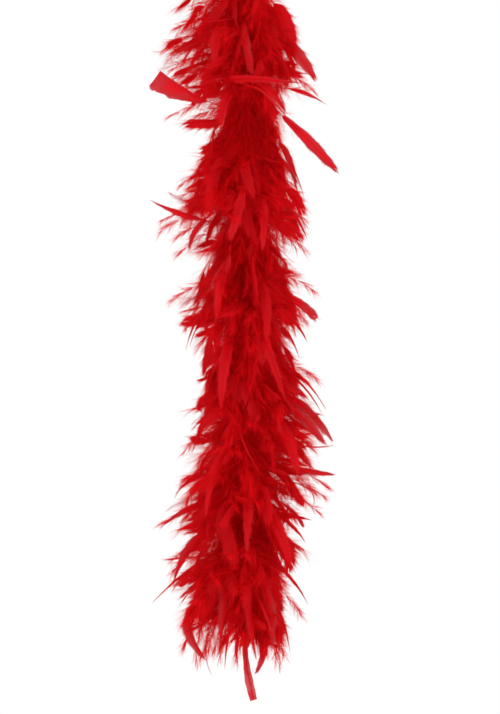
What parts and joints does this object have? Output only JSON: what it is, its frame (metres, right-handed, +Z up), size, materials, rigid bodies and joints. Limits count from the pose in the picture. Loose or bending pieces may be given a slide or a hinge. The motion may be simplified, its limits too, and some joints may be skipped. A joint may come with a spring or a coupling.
{
  "type": "feather boa",
  "caption": "Red feather boa: a hanging strand of webbed and downy feathers gripped round a twisted cord, with a hanging loop at its upper end.",
  "frame": {"origin": "bearing point of the hanging loop: the top of the loop's inside, where a hook or peg carries the boa", "axes": "+Z up along the hanging strand, from its lower end towards the loop; +X to the right and -Y towards the viewer when it hangs in front of one"},
  "size_m": [0.2124, 0.1925, 0.9366],
  "materials": {
    "feather_vane": "satin",
    "down": "matte",
    "core_cord": "matte",
    "thread": "matte"
  },
  "bodies": {
    "strand_1": {"hanging_loop": "core_cord", "top_whipping": "thread", "core_cord_1": "core_cord", "down_1": "down", "feathers_1": "feather_vane", "long_feathers_1": "feather_vane"},
    "strand_2": {"core_cord_2": "core_cord", "down_2": "down", "feathers_2": "feather_vane", "long_feathers_2": "feather_vane"},
    "strand_3": {"core_cord_3": "core_cord", "down_3": "down", "feathers_3": "feather_vane", "long_feathers_3": "feather_vane"},
    "strand_4": {"core_cord_4": "core_cord", "down_4": "down", "feathers_4": "feather_vane", "long_feathers_4": "feather_vane"},
    "strand_5": {"core_cord_5": "core_cord", "down_5": "down", "feathers_5": "feather_vane", "long_feathers_5": "feather_vane"},
    "strand_6": {"core_cord_6": "core_cord", "down_6": "down", "feathers_6": "feather_vane", "long_feathers_6": "feather_vane"},
    "strand_7": {"core_cord_7": "core_cord", "down_7": "down", "feathers_7": "feather_vane", "long_feathers_7": "feather_vane"},
    "strand_8": {"core_cord_8": "core_cord", "down_8": "down", "feathers_8": "feather_vane", "long_feathers_8": "feather_vane", "bottom_whipping": "thread", "end_knot": "core_cord", "tail_feather": "feather_vane"}
  },
  "joints": [
    {"name": "core_bend_1", "type": "hinge", "parent": "strand_1", "child": "strand_2", "pos_m": [0, 0, -0.145], "axis": [0, 1, 0], "range_deg": [-45, 45], "deforming": ["feathers_1", "long_feathers_1", "feathers_2", "long_feathers_2"]},
    {"name": "core_bend_2", "type": "hinge", "parent": "strand_2", "child": "strand_3", "pos_m": [0, 0, -0.239], "axis": [1, 0, 0], "range_deg": [-45, 45], "deforming": ["feathers_2", "long_feathers_2", "feathers_3", "long_feathers_3"]},
    {"name": "core_bend_3", "type": "hinge", "parent": "strand_3", "child": "strand_4", "pos_m": [0, 0, -0.333], "axis": [0, 1, 0], "range_deg": [-45, 45], "deforming": ["feathers_3", "long_feathers_3", "feathers_4", "long_feathers_4"]},
    {"name": "core_bend_4", "type": "hinge", "parent": "strand_4", "child": "strand_5", "pos_m": [0, 0, -0.427], "axis": [1, 0, 0], "range_deg": [-45, 45], "deforming": ["feathers_4", "long_feathers_4", "feathers_5", "long_feathers_5"]},
    {"name": "core_bend_5", "type": "hinge", "parent": "strand_5", "child": "strand_6", "pos_m": [0, 0, -0.521], "axis": [0, 1, 0], "range_deg": [-45, 45], "deforming": ["feathers_5", "long_feathers_5", "feathers_6", "long_feathers_6"]},
    {"name": "core_bend_6", "type": "hinge", "parent": "strand_6", "child": "strand_7", "pos_m": [0, 0, -0.615], "axis": [1, 0, 0], "range_deg": [-45, 45], "deforming": ["feathers_6", "long_feathers_6", "feathers_7", "long_feathers_7"]},
    {"name": "core_bend_7", "type": "hinge", "parent": "strand_7", "child": "strand_8", "pos_m": [0, 0, -0.709], "axis": [0, 1, 0], "range_deg": [-45, 45], "deforming": ["feathers_7", "long_feathers_7", "feathers_8", "long_feathers_8"]}
  ]
}
